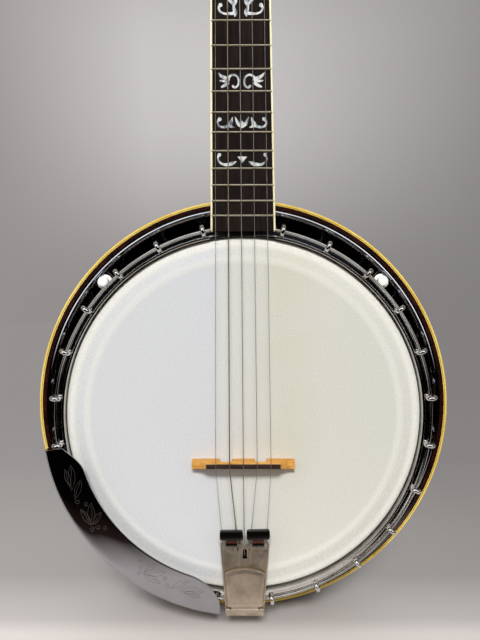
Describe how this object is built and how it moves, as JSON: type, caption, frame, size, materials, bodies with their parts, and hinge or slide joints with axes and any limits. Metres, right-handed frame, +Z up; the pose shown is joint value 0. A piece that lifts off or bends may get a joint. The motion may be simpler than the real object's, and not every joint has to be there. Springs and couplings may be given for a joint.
{
  "type": "resonator banjo",
  "caption": "Upright five-string resonator banjo with hooks round a frosted head, bound bowl back, long fretted neck, geared pegs, hinged tailpiece and armrest.",
  "frame": {"origin": "on the neck's centre line just behind the nut, 12 mm below the fingerboard's surface, where a wall hanger or a stand's yoke takes the neck under the peghead", "axes": "+Z up, the way the pot's face runs to the peghead; -Y out of the head towards the listener; +X to the treble side"},
  "size_m": [0.3514, 0.117, 0.9744],
  "materials": {
    "frosted_film": "sprayed, frosted film",
    "bell_bronze": "turned bronze",
    "rim_maple": "sealed laminated maple",
    "nickel": "bright nickel plate",
    "flange_plate": "polished plated casting",
    "aged_nickel": "worn nickel plate",
    "dark_wood": "dark stained gloss lacquer",
    "neck_wood": "dark stained gloss lacquer",
    "binding": "cream celluloid",
    "rosewood": "oiled rosewood with nickel frets",
    "bone": "polished bone",
    "black_lacquer": "black gloss",
    "pearloid": "pearl celluloid",
    "raw_maple": "bare maple with a dark top strip",
    "string_steel": "plain and wound steel",
    "damper_rubber": "black rubber on dark leather"
  },
  "bodies": {
    "banjo": {"neck": "neck_wood", "fingerboard": "rosewood", "nut": "bone", "truss_rod_cover": "black_lacquer", "head": "frosted_film", "tone_ring": "bell_bronze", "rim": "rim_maple", "tension_hoop": "nickel", "flange": "flange_plate", "hook_01": "nickel", "hook_02": "nickel", "hook_03": "nickel", "hook_04": "nickel", "hook_05": "nickel", "hook_06": "nickel", "hook_07": "nickel", "hook_08": "nickel", "hook_09": "nickel", "hook_10": "nickel", "hook_11": "nickel", "hook_12": "nickel", "hook_13": "nickel", "hook_14": "nickel", "hook_15": "nickel", "hook_16": "nickel", "hook_17": "nickel", "hook_18": "nickel", "hook_19": "nickel", "hook_20": "nickel", "hook_21": "nickel", "hook_22": "nickel", "hook_23": "nickel", "hook_24": "nickel", "resonator": "dark_wood", "resonator_binding": "binding", "coordinator_rod": "nickel", "bridge": "raw_maple", "tailpiece_base": "aged_nickel", "tailpiece_nut": "nickel", "string_damper": "damper_rubber", "armrest": "nickel", "string_1": "string_steel", "string_2": "string_steel", "string_3": "string_steel", "string_4": "string_steel", "string_5": "string_steel"},
    "tail_cover": {"tailpiece_cover": "aged_nickel"},
    "fifth_string_peg": {"fifth_peg": "nickel"},
    "button_1": {"tuner_button_1": "pearloid"},
    "post_1": {"tuner_post_1": "nickel"},
    "screw_1": {"thumbscrew_1": "nickel"},
    "button_2": {"tuner_button_2": "pearloid"},
    "post_2": {"tuner_post_2": "nickel"},
    "screw_2": {"thumbscrew_2": "nickel"},
    "button_3": {"tuner_button_3": "pearloid"},
    "post_3": {"tuner_post_3": "nickel"},
    "screw_3": {"thumbscrew_3": "nickel"},
    "button_4": {"tuner_button_4": "pearloid"},
    "post_4": {"tuner_post_4": "nickel"},
    "screw_4": {"thumbscrew_4": "nickel"}
  },
  "joints": [
    {"name": "tuner_button_1_turn", "type": "hinge", "parent": "banjo", "child": "button_1", "pos_m": [0.0245, 0.00458, 0.04305], "axis": [0, 0.9667, -0.256], "continuous": true},
    {"name": "tuner_post_1_turn", "type": "hinge", "parent": "banjo", "child": "post_1", "pos_m": [0.0245, 0.00458, 0.04305], "axis": [0, 0.9667, -0.256], "continuous": true},
    {"name": "tuner_button_2_turn", "type": "hinge", "parent": "banjo", "child": "button_2", "pos_m": [0.0245, 0.01993, 0.10105], "axis": [0, 0.9667, -0.256], "continuous": true},
    {"name": "tuner_post_2_turn", "type": "hinge", "parent": "banjo", "child": "post_2", "pos_m": [0.0245, 0.01993, 0.10105], "axis": [0, 0.9667, -0.256], "continuous": true},
    {"name": "tuner_button_3_turn", "type": "hinge", "parent": "banjo", "child": "button_3", "pos_m": [-0.0245, 0.01993, 0.10105], "axis": [0, 0.9667, -0.256], "continuous": true},
    {"name": "tuner_post_3_turn", "type": "hinge", "parent": "banjo", "child": "post_3", "pos_m": [-0.0245, 0.01993, 0.10105], "axis": [0, 0.9667, -0.256], "continuous": true},
    {"name": "tuner_button_4_turn", "type": "hinge", "parent": "banjo", "child": "button_4", "pos_m": [-0.0245, 0.00458, 0.04305], "axis": [0, 0.9667, -0.256], "continuous": true},
    {"name": "tuner_post_4_turn", "type": "hinge", "parent": "banjo", "child": "post_4", "pos_m": [-0.0245, 0.00458, 0.04305], "axis": [0, 0.9667, -0.256], "continuous": true},
    {"name": "fifth_peg_turn", "type": "hinge", "parent": "banjo", "child": "fifth_string_peg", "pos_m": [-0.01853, -0.00818, -0.14966], "axis": [-1, 0, 0], "continuous": true},
    {"name": "thumbscrew_1_turn", "type": "hinge", "parent": "banjo", "child": "screw_1", "pos_m": [0.11943, -0.02148, -0.537], "axis": [0, 1, 0], "continuous": true},
    {"name": "thumbscrew_2_turn", "type": "hinge", "parent": "banjo", "child": "screw_2", "pos_m": [0.1129, -0.02148, -0.75685], "axis": [0, 1, 0], "continuous": true},
    {"name": "thumbscrew_3_turn", "type": "hinge", "parent": "banjo", "child": "screw_3", "pos_m": [-0.11943, -0.02148, -0.537], "axis": [0, 1, 0], "continuous": true},
    {"name": "thumbscrew_4_turn", "type": "hinge", "parent": "banjo", "child": "screw_4", "pos_m": [-0.1129, -0.02148, -0.75685], "axis": [0, 1, 0], "continuous": true},
    {"name": "tailpiece_cover_hinge", "type": "hinge", "parent": "banjo", "child": "tail_cover", "pos_m": [0.001, -0.03138, -0.79308], "axis": [1, 0, 0], "range_deg": [0, 110]}
  ],
  "couplings": [
    {"joint": "tuner_post_1_turn", "follows": "tuner_button_1_turn", "ratio": 0.25},
    {"joint": "tuner_post_2_turn", "follows": "tuner_button_2_turn", "ratio": 0.25},
    {"joint": "tuner_post_3_turn", "follows": "tuner_button_3_turn", "ratio": 0.25},
    {"joint": "tuner_post_4_turn", "follows": "tuner_button_4_turn", "ratio": 0.25}
  ]
}
